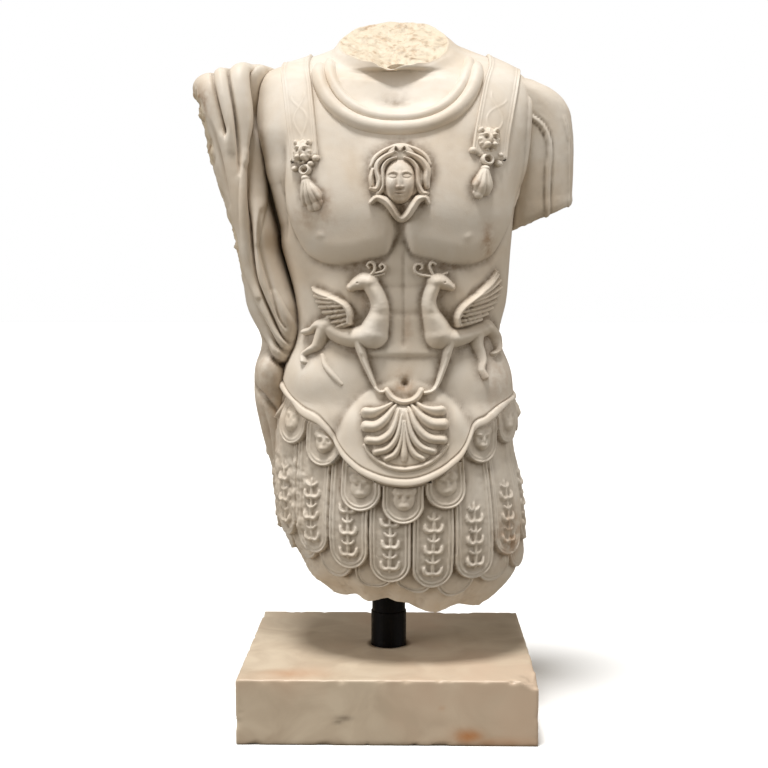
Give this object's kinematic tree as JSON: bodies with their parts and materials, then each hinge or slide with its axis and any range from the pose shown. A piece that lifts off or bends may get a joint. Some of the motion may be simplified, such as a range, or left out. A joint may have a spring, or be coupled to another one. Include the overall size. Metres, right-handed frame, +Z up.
{
  "type": "cuirassed marble torso",
  "caption": "Headless life-size marble torso in a muscle cuirass with a cloak over one shoulder, standing on an iron rod in a rectangular marble plinth.",
  "frame": {"origin": "centre of the plinth's flat underside, on the rod's axis", "axes": "+Z up along the rod, the torso faces -Y, +X to the viewer's right when facing it"},
  "size_m": [0.5512, 0.35, 1.0106],
  "materials": {
    "torso_marble": "weathered",
    "rod_iron": "satin black",
    "plinth_marble": "honed"
  },
  "bodies": {
    "root": {"torso": "torso_marble", "rod": "rod_iron", "plinth": "plinth_marble"}
  },
  "joints": []
}
